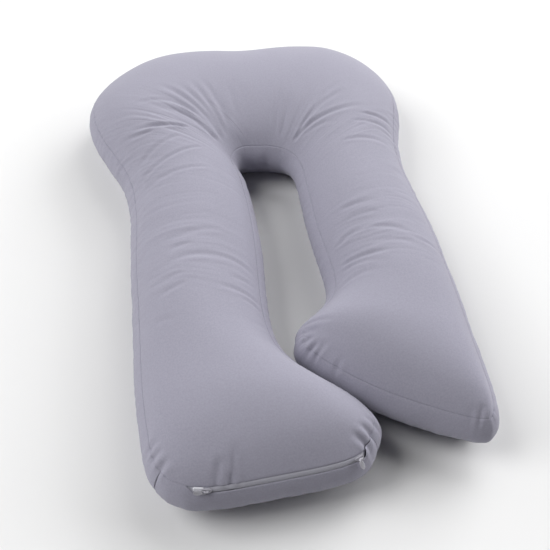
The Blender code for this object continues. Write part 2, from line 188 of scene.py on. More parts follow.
# Folds that start at a seam, where they are deepest and dent the boxing too.
SEAM_FOLDS = (
    # x1, y1, x2, y2, x3, y3, half_width, depth
    # the toe of the plain foot
    (0.022, -0.322, 0.052, -0.341, 0.088, -0.358, 0.0045, 0.0012),
    (0.016, -0.344, 0.036, -0.353, 0.062, -0.362, 0.0045, 0.0012),
    (0.014, -0.372, 0.026, -0.369, 0.048, -0.366, 0.0045, 0.0024),
    (0.024, -0.396, 0.035, -0.389, 0.055, -0.381, 0.0045, 0.0034),
    (0.036, -0.409, 0.046, -0.399, 0.065, -0.386, 0.0045, 0.0028),
    (0.066, -0.450, 0.073, -0.437, 0.084, -0.422, 0.0045, 0.0020),
    # the outer corner of the plain foot
    (0.294, -0.592, 0.301, -0.574, 0.307, -0.560, 0.0045, 0.0028),
    (0.282, -0.588, 0.287, -0.571, 0.293, -0.557, 0.0045, 0.0018),
    # above the zip
    (-0.170, -0.649, -0.164, -0.630, -0.151, -0.608, 0.0060, 0.0026),
    (-0.146, -0.648, -0.138, -0.625, -0.132, -0.590, 0.0055, 0.0038),
    (-0.125, -0.646, -0.124, -0.629, -0.113, -0.606, 0.0050, 0.0018),
    # the outer corner of the zip foot
    (-0.284, -0.574, -0.268, -0.563, -0.248, -0.557, 0.0060, 0.0018),
    (-0.279, -0.594, -0.264, -0.583, -0.245, -0.575, 0.0060, 0.0020),
    (-0.269, -0.617, -0.254, -0.605, -0.237, -0.592, 0.0060, 0.0022),
    # the toe of the zip foot
    (0.104, -0.622, 0.085, -0.604, 0.062, -0.592, 0.0050, 0.0034),
    (0.114, -0.600, 0.099, -0.585, 0.079, -0.576, 0.0050, 0.0030),
    (0.120, -0.574, 0.108, -0.562, 0.092, -0.555, 0.0045, 0.0018),
)

# Where the fine cross wrinkles gather: middle, reach along and across, and strength.
WRINKLED = (
    # x, y, reach_x, reach_y, strength
    (-0.155, -0.190, 0.120, 0.110, 1.20),
    (0.200, -0.170, 0.110, 0.100, 1.25),
    (-0.170, 0.290, 0.120, 0.120, 1.30),
    (0.220, 0.250, 0.120, 0.110, 1.30),
    (-0.260, 0.060, 0.060, 0.220, 0.90),
    (0.300, 0.050, 0.050, 0.200, 0.70),
    (-0.130, -0.020, 0.110, 0.110, 0.55),
    (0.200, 0.030, 0.110, 0.110, 0.60),
    (0.020, 0.340, 0.120, 0.090, 0.35),
)

# Where the cloth is gathered into the seams: middle, reach, strength, and how far in the gathers run.
GATHERED = (
    # x, y, reach, strength, run
    (-0.260, -0.590, 0.080, 0.90, 0.014),
    (0.105, -0.580, 0.050, 1.00, 0.012),
    (0.030, -0.390, 0.060, 1.20, 0.014),
    (0.150, -0.500, 0.100, 0.60, 0.014),
    (0.300, -0.590, 0.060, 0.80, 0.012),
    (-0.350, 0.250, 0.200, 2.10, 0.032),
    (0.345, 0.210, 0.150, 1.80, 0.028),
    (-0.310, -0.100, 0.260, 1.50, 0.036),
    (0.330, -0.150, 0.150, 1.00, 0.030),
    (0.050, 0.150, 0.100, 0.25, 0.010),
)
PLAIN_GATHER = 0.15
PLAIN_RUN = 0.012


# ---------------------------------------------------------------- plan and section

class Outline:
    """The closed plan curve at the widest level: outer edge, plain end, inner edge, zip end."""

    def __init__(self):
        table = np.array(STATIONS)
        self.points = np.vstack([table[:, 0:2], PLAIN_FOOT_END, table[::-1, 2:4], ZIP_FOOT_END])
        self.rows = len(table)
        self.plain_end = self.rows - 1
        self.inner_start = self.plain_end + len(PLAIN_FOOT_END) + 1
        self.zip_end = self.inner_start + self.rows - 1
        self.total = len(self.points)
        unit = np.eye(self.total)
        system = 4 * unit + np.roll(unit, 1, axis=0) + np.roll(unit, -1, axis=0)
        turned = np.roll(self.points, -1, axis=0) - 2 * self.points + np.roll(self.points, 1, axis=0)
        self.bend = np.linalg.solve(system, 6 * turned)
        even = np.linspace(0, self.total, 4000)
        fine = self.at(even)[0]
        self.centre = (fine.min(axis=0) + fine.max(axis=0)) / 2
        step = np.linalg.norm(np.diff(fine, axis=0), axis=1)
        self.even, self.length = even, np.concatenate([[0], np.cumsum(step)])

    def at(self, u):
        """Plan points and outward unit normals at the parameters u."""
        u = np.asarray(u, float)
        whole = np.floor(u).astype(int)
        f = (u - whole)[:, None]
        a, b = whole % self.total, (whole + 1) % self.total
        g = 1 - f
        place = self.points[a] * g + self.points[b] * f
        place += (g**3 - g) * self.bend[a] / 6 + (f**3 - f) * self.bend[b] / 6
        along = self.points[b] - self.points[a]
        along += (1 - 3 * g**2) * self.bend[a] / 6 + (3 * f**2 - 1) * self.bend[b] / 6
        along /= np.linalg.norm(along, axis=1)[:, None]
        return place, np.column_stack([-along[:, 1], along[:, 0]])

    def arc(self, u):
        """Metres round the outline from the outer corner of the zip foot."""
        return np.interp(np.asarray(u) % self.total, self.even, self.length)


OUTLINE = Outline()
# The outline's own middle is brought to the middle of the CAD box.
MIDDLE = np.array([(cad_box[0][k] + cad_box[1][k]) / 2 for k in (0, 1)])
SHIFT = MIDDLE - OUTLINE.centre


def side_rise(angle):
    over = (TOP_SEAM_Z - WIDEST_Z) / math.sin(TOP_SEAM_ANGLE)
    under = (WIDEST_Z - BOTTOM_SEAM_Z) / -math.sin(BOTTOM_SEAM_ANGLE)
    return np.where(np.asarray(angle) >= 0, over, under)


def side_arc(angle):
    """Metres of the side's arc for each radian at an angle."""
    return np.hypot(side_rise(angle) * np.cos(angle), SIDE_DEPTH * np.sin(angle))


def side_slope(angle):
    """The side's outward normal at an angle: its share in the plan and its share upwards."""
    level = side_rise(angle) * np.cos(angle)
    upward = SIDE_DEPTH * np.sin(angle)
    length = np.hypot(level, upward)
    return level / length, upward / length


def side_points(u, angle, out=0.0):
    """Points of the bulging side at the parameters u, at one angle or one each, moved out of its surface."""
    place, outward = OUTLINE.at(u)
    angle, out = np.broadcast_to(angle, len(place)), np.broadcast_to(out, len(place))
    level, upward = side_slope(angle)
    inset = SIDE_DEPTH * (1 - np.cos(angle)) - out * level
    flat = place - outward * inset[:, None] + SHIFT
    return np.column_stack([flat, WIDEST_Z + side_rise(angle) * np.sin(angle) + out * upward])


def side_normals(u, angle):
    outward = OUTLINE.at(u)[1]
    level, upward = side_slope(angle)
    return np.column_stack([outward * level, np.full(len(outward), upward)])


def below_top_seam(distance):
    return TOP_SEAM_ANGLE - np.asarray(distance) / side_arc(TOP_SEAM_ANGLE)


def quarter(share, angle):
    """Rise from 0 at a seam to 1 at the crown, along the elliptic section."""
    cosine = math.cos(angle) * (1 - np.clip(share, 0, 1))
    return (np.sqrt(1 - cosine**2) - math.sin(angle)) / (1 - math.sin(angle))


def stepped(length, count, unit):
    """Values from 0 to length: the seam steps at both ends, given in metres per unit, and even between."""
    edge = np.array(SEAM_STEPS) / unit
    middle = np.linspace(edge[-1], length - edge[-1], count)[1:-1]
    return np.concatenate([edge, middle, length - edge[::-1]])


def turns(angle):
    """The section angles of a panel's columns."""
    angle = abs(angle)
    return angle + stepped(math.pi - 2 * angle, ACROSS, side_arc(TOP_SEAM_ANGLE))


def cross_shares(angle):
    return 0.5 * (1 - np.cos(turns(angle)) / math.cos(angle))


def runs(angle):
    """The parameters round the outline: outer edge, plain end, inner edge from zip foot, zip end."""
    outer = stepped(OUTLINE.rows - 1, ALONG, 0.085)
    share = cross_shares(angle)
    plain = OUTLINE.plain_end + share * (OUTLINE.inner_start - OUTLINE.plain_end)
    inner = OUTLINE.zip_end - outer
    zipped = OUTLINE.zip_end + share * (OUTLINE.total - OUTLINE.zip_end)
    return outer, plain, inner, zipped


def perimeter(angle):
    outer, plain, inner, zipped = runs(angle)
    return np.concatenate([outer, plain[1:-1], inner[::-1], zipped[1:-1]])


class Panel:
    """A panel as a grid: plan places, rise, and how far each point is from each seam and where along it."""

    def __init__(self, angle):
        outer_u, plain_u, inner_u, zip_u = runs(angle)
        outer = side_points(outer_u, angle)[:, :2]
        inner = side_points(inner_u, angle)[:, :2]
        plain_end = side_points(plain_u, angle)[:, :2]
        zip_end = side_points(zip_u, angle)[::-1, :2]
        turn = turns(angle)
        across = cross_shares(angle)
        lean = abs(angle)
        rise_across = (np.sin(turn) - math.sin(lean)) / (1 - math.sin(lean))
        middle = (outer + inner) / 2
        step = np.linalg.norm(np.diff(middle, axis=0), axis=1)
        from_zip = np.concatenate([[0], np.cumsum(step)])
        from_plain = from_zip[-1] - from_zip
        reach = SIDE_DEPTH * math.cos(angle)
        rise_along = quarter(from_zip / reach, lean) * quarter(from_plain / reach, lean)

        share = across[None, :, None]
        grid = outer[:, None] * (1 - share) + inner[:, None] * share
        for end, distance, row in ((zip_end, from_zip, 0), (plain_end, from_plain, -1)):
            ease = (1 - np.clip(distance / FOOT_BLEND, 0, 1)) ** 2
            grid = grid + ease[:, None, None] * (end - grid[row])[None]
        self.plan = grid
        self.rise = rise_along[:, None] * rise_across[None]
        self.station = outer_u
        shape = self.rise.shape
        width = np.linalg.norm(outer - inner, axis=1)[:, None]
        arc = np.concatenate([[0], np.cumsum(np.diff(turn))]) * side_arc(TOP_SEAM_ANGLE)
        arc = arc[None] * (0.6 + 0.4 * width / 0.27)
        # distance from each of the four seams and the place round the outline beside it
        self.seams = (
            (arc, np.broadcast_to(OUTLINE.arc(outer_u)[:, None], shape)),
            (arc[:, ::-1], np.broadcast_to(OUTLINE.arc(inner_u)[:, None], shape)),
            (
                np.broadcast_to(from_zip[:, None] * 1.25, shape),
                np.broadcast_to(OUTLINE.arc(zip_u)[::-1][None], shape),
            ),
            (
                np.broadcast_to(from_plain[:, None] * 1.25, shape),
                np.broadcast_to(OUTLINE.arc(plain_u)[None], shape),
            ),
        )
        self.along = np.broadcast_to(from_zip[:, None], shape)
        self.across = np.broadcast_to(across[None], shape)


# ---------------------------------------------------------------- relief

def value_noise(x, y, seed):
    """Smooth noise from -1 to 1 over the plane, one cell for each unit."""
    table = np.random.default_rng(seed).uniform(-1, 1, (256, 256))
    ix, iy = np.floor(x).astype(int), np.floor(y).astype(int)
    fx, fy = x - ix, y - iy
    fx, fy = fx * fx * (3 - 2 * fx), fy * fy * (3 - 2 * fy)
    a, b = table[ix % 256, iy % 256], table[(ix + 1) % 256, iy % 256]
    c, d = table[ix % 256, (iy + 1) % 256], table[(ix + 1) % 256, (iy + 1) % 256]
    return (a * (1 - fx) + b * fx) * (1 - fy) + (c * (1 - fx) + d * fx) * fy


def smooth(share):
    share = np.clip(share, 0, 1)
    return share * share * (3 - 2 * share)


def spots(x, y, rows):
    """The sum of soft round patches at the plan points: rows of middle, reach across and along, strength."""
    total = np.zeros(np.shape(x))
    for middle_x, middle_y, reach_x, reach_y, strength in rows:
        total += strength * np.exp(-(((x - middle_x) / reach_x) ** 2) - ((y - middle_y) / reach_y) ** 2)
    return total


class SeamGathers:
    """Small gathers square to a seam, by the place round the outline and the distance from the seam."""

    def __init__(self):
        u = np.linspace(0, OUTLINE.total, 3000)
        self.place = OUTLINE.arc(u[:-1])
        flat = OUTLINE.at(u[:-1])[0] + SHIFT
        here = flat[:, 0], flat[:, 1]
        round_spots = [(x, y, r, r, strength) for x, y, r, strength, _ in GATHERED]
        self.strength = PLAIN_GATHER + spots(*here, round_spots)
        run = PLAIN_GATHER * PLAIN_RUN + spots(*here, [(x, y, r, r, s * run) for x, y, r, s, run in GATHERED])
        self.run = run / self.strength

    def __call__(self, place, distance, seed=5):
        strength = np.interp(place, self.place, self.strength)
        run = np.interp(place, self.place, self.run)
        pinch = value_noise(place / 0.0105, distance / 0.05 + 3.1, seed)
        valley = -np.exp(-((pinch / 0.30) ** 2))
        fine = value_noise(place / 0.0060, distance / 0.05, seed + 1)
        patch = 0.65 + 0.35 * value_noise(place / 0.09, place * 0 + 0.4, seed + 2)
        reach = run * (1 + 0.5 * value_noise(place / 0.03, place * 0 + 7.3, seed + 3))
        height = 0.0018 * np.sqrt(PLAIN_RUN / run)
        return strength * patch * np.exp(-distance / reach) * (height * (valley + 0.3) + 0.0003 * fine)


gathers = SeamGathers()


def seam_roll(distance):
    """How far the cloth turns down beside a seam."""
    return -SEAM_SINK * np.clip(1 - distance / SEAM_ROLL, 0, 1) ** 2


def along_path(plan, row):
    """Distance from a fold's path and the share along it, for the plan points near it."""
    ends = np.array(row[:6]).reshape(3, 2)
    share = np.linspace(0, 1, 17)[:, None]
    middle = 2 * ends[1] - (ends[0] + ends[2]) / 2
    path = (1 - share) ** 2 * ends[0] + 2 * share * (1 - share) * middle + share**2 * ends[2]
    near, where = np.full(len(plan), 9.0), np.zeros(len(plan))
    for k in range(len(path) - 1):
        start, step = path[k], path[k + 1] - path[k]
        t = np.clip(((plan - start) @ step) / (step @ step), 0, 1)
        off = plan - start - t[:, None] * step
        far = np.hypot(off[:, 0], off[:, 1])
        closer = far < near
        near = np.where(closer, far, near)
        where = np.where(closer, (k + t) / (len(path) - 1), where)
    return near, where


def fold_relief(plan, rows, from_seam):
    """The height of a table of folds at the plan points: troughs between soft ridges."""
    flat = plan.reshape(-1, 2)
    total = np.zeros(len(flat))
    for row in rows:
        half_width, depth = row[6:]
        ends = np.array(row[:6]).reshape(3, 2)
        reach = 5 * half_width
        inside = np.all((flat > ends.min(axis=0) - reach) & (flat < ends.max(axis=0) + reach), axis=1)
        near, where = along_path(flat[inside], row)
        length = np.linalg.norm(np.diff(ends, axis=0), axis=1).sum()
        start = 1.0 if from_seam else smooth(where * length / FOLD_START)
        fade = start * smooth((1 - where) / 0.45)
        width = half_width * (0.8 + 0.5 * where)
        across = near / width
        trough = -np.exp(-(across**2))
        ridge = 0.42 * np.exp(-((across - 2.0) ** 2) / 1.1)
        total[inside] += depth * fade * (trough + ridge)
    return total.reshape(plan.shape[:-1])


def cross_wrinkles(panel):
    """Fine wrinkles across the pillow, which fan out round the head's inner corners."""
    x, y = panel.plan[..., 0], panel.plan[..., 1]
    strength = spots(x, y, WRINKLED)
    bend = 0.010 * value_noise(panel.along / 0.12, panel.across * 3, 24)
    s = panel.along + bend
    broad = value_noise(s / 0.019, panel.across * 1.7, 22)
    crossing = value_noise(s / 0.0115, panel.across * 2.0 + 0.3, 21)
    crease = 0.35 - np.exp(-((crossing / 0.26) ** 2))
    hair = value_noise(s / 0.0055, panel.across * 3.5 + 0.8, 25)
    patch = smooth(0.60 + 0.70 * value_noise(s / 0.075, panel.across * 2.2, 23))
    return strength * patch * (0.0010 * broad + 0.0009 * crease + 0.00018 * hair)


def filling(panel):
    """Broad unevenness of the filling."""
    x, y = panel.plan[..., 0], panel.plan[..., 1]
    return 0.0016 * value_noise(x / 0.10, y / 0.12, 31) + 0.0004 * value_noise(x / 0.045, y / 0.05, 32)


def normals(grid):
    normal = np.cross(np.gradient(grid, axis=1), np.gradient(grid, axis=0))
    normal /= np.maximum(np.linalg.norm(normal, axis=2), 1e-9)[..., None]
    return np.where(normal[..., 2:3] < 0, -normal, normal)


def seam_effects(panel):
    """The gathers and the turned-down edges of a panel, and each point's distance from its nearest seam."""
    gather, weight = np.zeros(panel.rise.shape), np.zeros(panel.rise.shape)
    nearest = np.full(panel.rise.shape, 9.0)
    for distance, place in panel.seams:
        nearest = np.minimum(nearest, distance)
        share = np.exp(-distance / 0.006)
        gather += share * gathers(place, distance)
        weight += share
    lean = -PANEL_LEAN * nearest * np.exp(-nearest / PANEL_LEAN_REACH)
    return gather / np.maximum(weight, 1e-6) + seam_roll(nearest) + lean, nearest


def blend_edge_normals(normal, panel, angle, sign):
    """Beside each seam a panel moves along the side's normal, so that its edge meets the boxing's."""
    outer_u, plain_u, inner_u, zip_u = runs(angle)
    borders = (
        (side_normals(outer_u, angle)[:, None], panel.seams[0][0]),
        (side_normals(inner_u, angle)[:, None], panel.seams[1][0]),
        (side_normals(zip_u, angle)[::-1][None], panel.seams[2][0]),
        (side_normals(plain_u, angle)[None], panel.seams[3][0]),
    )
    total, weight = np.zeros(normal.shape), np.zeros(normal.shape[:2])
    for side, distance in borders:
        share = np.exp(-((distance / 0.005) ** 2))
        total += share[..., None] * side
        weight += share
    keep = np.clip(1 - weight, 0, 1)[..., None]
    mixed = normal * sign * keep + total
    return mixed / np.linalg.norm(mixed, axis=2)[..., None]


def top_panel():
    panel = Panel(TOP_SEAM_ANGLE)
    crown = np.interp(panel.station, range(OUTLINE.rows), [row[4] for row in STATIONS])
    height = TOP_SEAM_Z + (crown[:, None] - TOP_SEAM_Z) * panel.rise
    grid = np.dstack([panel.plan, height])
    relief, nearest = seam_effects(panel)
    relief = relief + smooth(nearest / 0.03) * (filling(panel) + cross_wrinkles(panel))
    relief = relief + smooth(nearest / 0.010) * fold_relief(panel.plan, FOLDS, False)
    relief = relief + fold_relief(panel.plan, SEAM_FOLDS, True)
    return grid + blend_edge_normals(normals(grid), panel, TOP_SEAM_ANGLE, 1) * relief[..., None]


def bottom_panel():
    panel = Panel(BOTTOM_SEAM_ANGLE)
    height = BOTTOM_SEAM_Z - BELLY_DROP * panel.rise
    grid = np.dstack([panel.plan, height])
    relief, _ = seam_effects(panel)
    grid = grid + blend_edge_normals(normals(grid), panel, BOTTOM_SEAM_ANGLE, -1) * relief[..., None]
    grid[..., 2] = np.maximum(grid[..., 2], 0)
    return grid


# ---------------------------------------------------------------- mesh building

def rim(rows, columns):
    """A grid's border as pairs of row and column, in the order of perimeter()."""
    outer = [(row, 0) for row in range(rows)]
    plain = [(rows - 1, column) for column in range(1, columns - 1)]
    inner = [(row, columns - 1) for row in range(rows - 1, -1, -1)]
    zipped = [(0, column) for column in range(columns - 2, 0, -1)]
    return np.array(outer + plain + inner + zipped)


def grid_faces(rows, columns, start):
    row, column = np.meshgrid(np.arange(rows - 1), np.arange(columns - 1), indexing="ij")
    a = start + row * columns + column
    return np.stack([a, a + 1, a + columns + 1, a + columns], axis=-1).reshape(-1, 4).tolist()


def ring_faces(lower, upper, closed=True):
    lower, upper = np.asarray(lower), np.asarray(upper)
    count = len(lower) if closed else len(lower) - 1
    after = (np.arange(count) + 1) % len(lower)
    return np.stack([lower[:count], lower[after], upper[after], upper[:count]], axis=-1).tolist()


def thinned(count, step):
    """Indices of a run kept when it is thinned: every step-th one, and all beside the seams."""
    edge = len(SEAM_STEPS)
    return np.array(sorted(set(range(0, count, step)) | set(range(edge)) | set(range(count - edge, count))))


def mesh_object(name, points, faces, material):
    mesh = bpy.data.meshes.new(name)
    mesh.from_pydata(np.asarray(points).tolist(), [], faces)
    bm = bmesh.new()
    bm.from_mesh(mesh)
    bmesh.ops.recalc_face_normals(bm, faces=bm.faces)
    bm.to_mesh(mesh)
    bm.free()
    mesh.materials.append(material)
    mesh.shade_smooth()
    piece = bpy.data.objects.new(name, mesh)
    bpy.context.scene.collection.objects.link(piece)
    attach(piece, BODY)
    return piece


def build_pillow(material):
    top, bottom = top_panel(), bottom_panel()
    rows, columns = top.shape[:2]
    border = rim(rows, columns)
    points = [top.reshape(-1, 3)]
    faces = grid_faces(rows, columns, 0)
    ring = border[:, 0] * columns + border[:, 1]
    start = rows * columns
    u = perimeter(TOP_SEAM_ANGLE)
    hidden = 0.008
    for share in (0.94, 0.5, 0.06):
        angle = BOTTOM_SEAM_ANGLE + share * (TOP_SEAM_ANGLE - BOTTOM_SEAM_ANGLE)
        points.append(side_points(u, angle, -hidden))
        following = start + np.arange(len(u))
        faces += ring_faces(ring, following)
        ring = following
        start += len(u)

    kept_rows, kept_columns = thinned(rows, 4), thinned(columns, 4)
    points.append(bottom[np.ix_(kept_rows, kept_columns)].reshape(-1, 3))
    faces += grid_faces(len(kept_rows), len(kept_columns), start)
    row_place = {row: k for k, row in enumerate(kept_rows)}
    column_place = {column: k for k, column in enumerate(kept_columns)}
    corners = [k for k, (row, column) in enumerate(border) if row in row_place and column in column_place]
    for a, b in zip(corners, corners[1:] + corners[:1]):
        between = list(range(a, b + 1)) if b > a else list(range(a, len(border))) + [0]
        low = [
            start + row_place[border[k][0]] * len(kept_columns) + column_place[border[k][1]]
            for k in (b, a)
        ]
        faces.append([int(ring[k]) for k in between] + low)

    pillow = mesh_object("pillow_cloth", np.vstack(points), faces, material)
    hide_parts("pillow_body")
    return pillow


def boxing_relief(place, below_top, above_bottom, plan):
    """How far a boxing strip stands out of the smooth side: turned in and gathered at both edges."""
    middle = smooth(np.minimum(below_top, above_bottom) / 0.02)
    lumps = 0.0010 * value_noise(place / 0.060, below_top / 0.030, 41)
    creases = 0.0007 * value_noise(place / 0.012, below_top / 0.060, 43)
    edges = gathers(place, below_top) + gathers(place, above_bottom, 15)
    edges = edges + seam_roll(below_top) + seam_roll(above_bottom)
    dents = np.exp(-below_top / 0.012) * fold_relief(plan, SEAM_FOLDS, True)
    return edges + middle * (lumps + creases) + dents


def strip_grid(u, drop, rings, flap):
    """A boxing strip's outer skin and its relief, ring by ring from its bottom edge to its top."""
    top_angle = below_top_seam(drop)
    grid, heights = [], []
    place = OUTLINE.arc(np.minimum(u, OUTLINE.total - 1e-6))
    fine = np.array(SEAM_STEPS[:5]) / 0.0725
    flap_edge = 1 - (FLAP_WIDTH - np.array([0.0026, 0.0018, 0.0010, 0.0004, -0.0004])) / 0.0725
    shares = np.concatenate([fine, np.linspace(fine[-1], 0.82, rings), flap_edge, 1 - fine[::-1]])
    shares = np.unique(shares)
    for share in shares:
        angle = BOTTOM_SEAM_ANGLE + share * (top_angle - BOTTOM_SEAM_ANGLE)
        below_top = (top_angle - angle) * side_arc(0)
        above_bottom = (angle - BOTTOM_SEAM_ANGLE) * side_arc(0)
        flat = side_points(u, angle)[:, :2]
        out = boxing_relief(place, below_top, above_bottom, flat) + flap(place, below_top)
        grid.append(side_points(u, angle, out))
        heights.append(side_points(u, angle, out - CLOTH))
    return grid, heights


def boxing_strip(name, node, u, drop, material, flap):
    """A strip of cloth round the side, as an outer and an inner skin closed at its edges."""
    outer, inner = strip_grid(u, drop, 13, flap)
    inner = [inner[k] for k in sorted({0, 3, len(inner) // 2, len(inner) - 4, len(inner) - 1})]
    rings = outer + inner[::-1]
    size = len(u)
    faces = []
    for k in range(len(rings)):
        following = (k + 1) % len(rings)
        faces += ring_faces(k * size + np.arange(size), following * size + np.arange(size), closed=False)
    for end in (0, size - 1):
        faces.append([k * size + end for k in range(len(rings))])
    strip = mesh_object(name, np.concatenate(rings), faces, material)
    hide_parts(node)
    return strip


def zip_foot_shares():
    """Shares along the zip foot's end, with close ones at the zip's ends and the flap's edge."""
    marks = [ZIP_FROM - ZIP_TAPER, ZIP_FROM, ZIP_TO, ZIP_TO + ZIP_TAPER]
    close = FLAP_EDGE + np.linspace(-0.03, 0.03, 19)
    ends = np.concatenate([np.linspace(0, 0.02, 9), np.linspace(0.98, 1, 9)])
    return np.unique(np.concatenate([np.linspace(0, 1, 161), marks, close, ends]))


def build_boxing(material):
    joint = 0.00035
    zip_start = float(OUTLINE.arc(OUTLINE.zip_end))
    whole = float(OUTLINE.arc(OUTLINE.total - 1e-6))

    def joined(place, start, end):
        """Both ends of a strip turn in at its joins."""
        return seam_roll(np.abs(place - start)) + seam_roll(np.abs(place - end))

    u = perimeter(TOP_SEAM_ANGLE)
    long_u = u[u <= OUTLINE.zip_end].copy()
    ends = np.array(SEAM_STEPS[:4]) / 0.085
    long_u = np.unique(np.concatenate([long_u, ends, OUTLINE.zip_end - ends]))
    long_u[0] += joint
    long_u[-1] -= joint
    strip = boxing_strip("boxing_long_cloth", "boxing_long", long_u, np.zeros(len(long_u)), material,
                         lambda place, below_top: joined(place, 0, zip_start))

    shares = zip_foot_shares()
    zip_u = OUTLINE.zip_end + shares * (OUTLINE.total - OUTLINE.zip_end)
    zip_u[0] += joint
    zip_u[-1] -= joint
    marks = (ZIP_FROM - ZIP_TAPER, ZIP_FROM, ZIP_TO, ZIP_TO + ZIP_TAPER)
    drop = TAPE_WIDTH * np.interp(shares, marks, (0, 1, 1, 0))
    length = whole - zip_start

    def flap(place, below_top):
        """The strip beside the seam is folded back where the zip begins, and stands out with a cut end."""
        share = (place - zip_start) / length
        raised = smooth(share / 0.03) * smooth((FLAP_EDGE - share) / 0.006)
        raised = raised * smooth((FLAP_WIDTH - below_top) / 0.002)
        return joined(place, zip_start, whole) + FLAP_RISE * raised

    strip = boxing_strip("boxing_zip_foot_cloth", "boxing_zip_foot", zip_u, drop, material, flap)


# ---------------------------------------------------------------- zip

def zip_parameter(share):
    return OUTLINE.zip_end + np.asarray(share) * (OUTLINE.total - OUTLINE.zip_end)


def zip_relief(u, below):
    """How far the zip follows the gathers above it, and the dents, which fade below the seam."""
    flat = side_points(u, TOP_SEAM_ANGLE)[:, :2]
    dents = fold_relief(flat, SEAM_FOLDS, True) * np.exp(-np.maximum(below, 0) / DENT_FADE)
    return gathers(OUTLINE.arc(u), np.zeros(len(u))) + dents


def zip_points(share, below, out):
    """Points that far below the top seam, and that far out of the side."""
    u = zip_parameter(share)
    return side_points(u, below_top_seam(below), out + zip_relief(u, below))


def zip_frame(share, below, out):
    """The matrix of a place on the zip: X along it, Y up the slope, Z out of the side."""
    u = np.array([float(zip_parameter(share))])
    normal = Vector(side_normals(u, below_top_seam(below))[0])
    outward = OUTLINE.at(u)[1][0]
    along = Vector((-outward[1], outward[0], 0))
    turned = Matrix((along, normal.cross(along), normal)).transposed().to_4x4()
    return Matrix.Translation(Vector(zip_points([share], below, out)[0])) @ turned


def band_of_tape(name, node, material, shares, rows, thick, ragged=0.0):
    """A strip along the zip: rows give each edge's distance below the seam and how far out it lies."""
    rng = np.random.default_rng(3)
    top = []
    for below, out in rows:
        moved = np.array(shares, float)
        moved[-1] += ragged * rng.uniform(-1, 1)
        top.append(zip_points(moved, below, out))
    under = [zip_points(shares, below, out - thick) for below, out in rows]
    rings = top + under[::-1]
    size = len(shares)
    faces = []
    for k in range(len(rings)):
        following = (k + 1) % len(rings)
        faces += ring_faces(k * size + np.arange(size), following * size + np.arange(size), closed=False)
    for end in (0, size - 1):
        faces.append([k * size + end for k in range(len(rings))])
    band = mesh_object(name, np.concatenate(rings), faces, material)
    length = float(np.linalg.norm(np.diff(zip_points(shares, 0.004, 0.0), axis=0), axis=1).sum())
    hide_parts(node)
    return band, length


def build_tape(material):
    shares = np.linspace(ZIP_FROM - TAPE_BEYOND, ZIP_TO + TAPE_BEYOND, 260)
    tucked = TAPE_TUCK * smooth(np.maximum(ZIP_FROM - shares, shares - ZIP_TO) / TAPE_TUCK_RUN)
    rows = (
        (-0.0012, -0.0030),
        (0.0004, -0.0014),
        (0.0012, -0.0007),
        (0.0028, -0.0002),
        (0.0076, -0.0002),
        (0.0092, -0.0007),
        (0.0100, -0.0014),
        (0.0118, -0.0030),
    )
    rows = [(below, out - tucked) for below, out in rows]
    tape, length = band_of_tape("zip_tape_woven", "zip_tape", material, shares, rows, 0.001)


def build_tape_end(material):
    """The white end of the tape, cut off ragged beyond the slider."""
    shares = np.linspace(ZIP_TO - 0.040, ZIP_TO + 0.002, 9)
    rows = (
        (-0.0016, -0.0026),
        (0.0004, -0.0002),
        (0.0020, 0.0008),
        (0.0036, 0.0010),
        (0.0052, 0.0004),
        (0.0066, -0.0001),
    )
    end, length = band_of_tape(
        "tape_end_cut", "zip_tape_end", material, shares, rows, 0.0008, 0.006
    )


def nothing_selected():
    if bpy.context.object and bpy.context.object.mode != "OBJECT":
        bpy.ops.object.mode_set(mode="OBJECT")
    bpy.ops.object.select_all(action="DESELECT")


def pick(test, kind="FACE"):
    """In edit mode, selects the faces, edges or points whose middle and normal pass the test."""
    bpy.ops.mesh.select_mode(type=kind)
    bpy.ops.mesh.select_all(action="DESELECT")
    bm = bmesh.from_edit_mesh(bpy.context.object.data)
    if kind == "FACE":
        chosen = [face for face in bm.faces if test(face.calc_center_median(), face.normal)]
    elif kind == "EDGE":
        ends = [(edge, edge.verts[0].co, edge.verts[1].co) for edge in bm.edges]
        chosen = [edge for edge, first, last in ends if test((first + last) / 2, last - first)]
    else:
        chosen = [vert for vert in bm.verts if test(vert.co, vert.normal)]
    for item in chosen:
        item.select_set(True)
    bm.select_flush_mode()
    bmesh.update_edit_mesh(bpy.context.object.data)


def rounded_off(piece, width, segments=2, angle=32):
    modifier = piece.modifiers.new("rounded", "BEVEL")
    modifier.width = width
    modifier.segments = segments
    modifier.limit_method = "ANGLE"
    modifier.angle_limit = math.radians(angle)
    bpy.ops.object.modifier_apply(modifier=modifier.name)
    bpy.ops.object.shade_smooth_by_angle(angle=math.radians(40))


def placed(piece, name, node, material, place):
    """Puts a finished piece in its place, in its mesh, and gives it its name and finish."""
    piece.data.transform(place)
    piece.name = name
    piece.data.materials.clear()
    piece.data.materials.append(material)
    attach(piece, BODY)
    if node:
        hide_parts(node)
    return piece


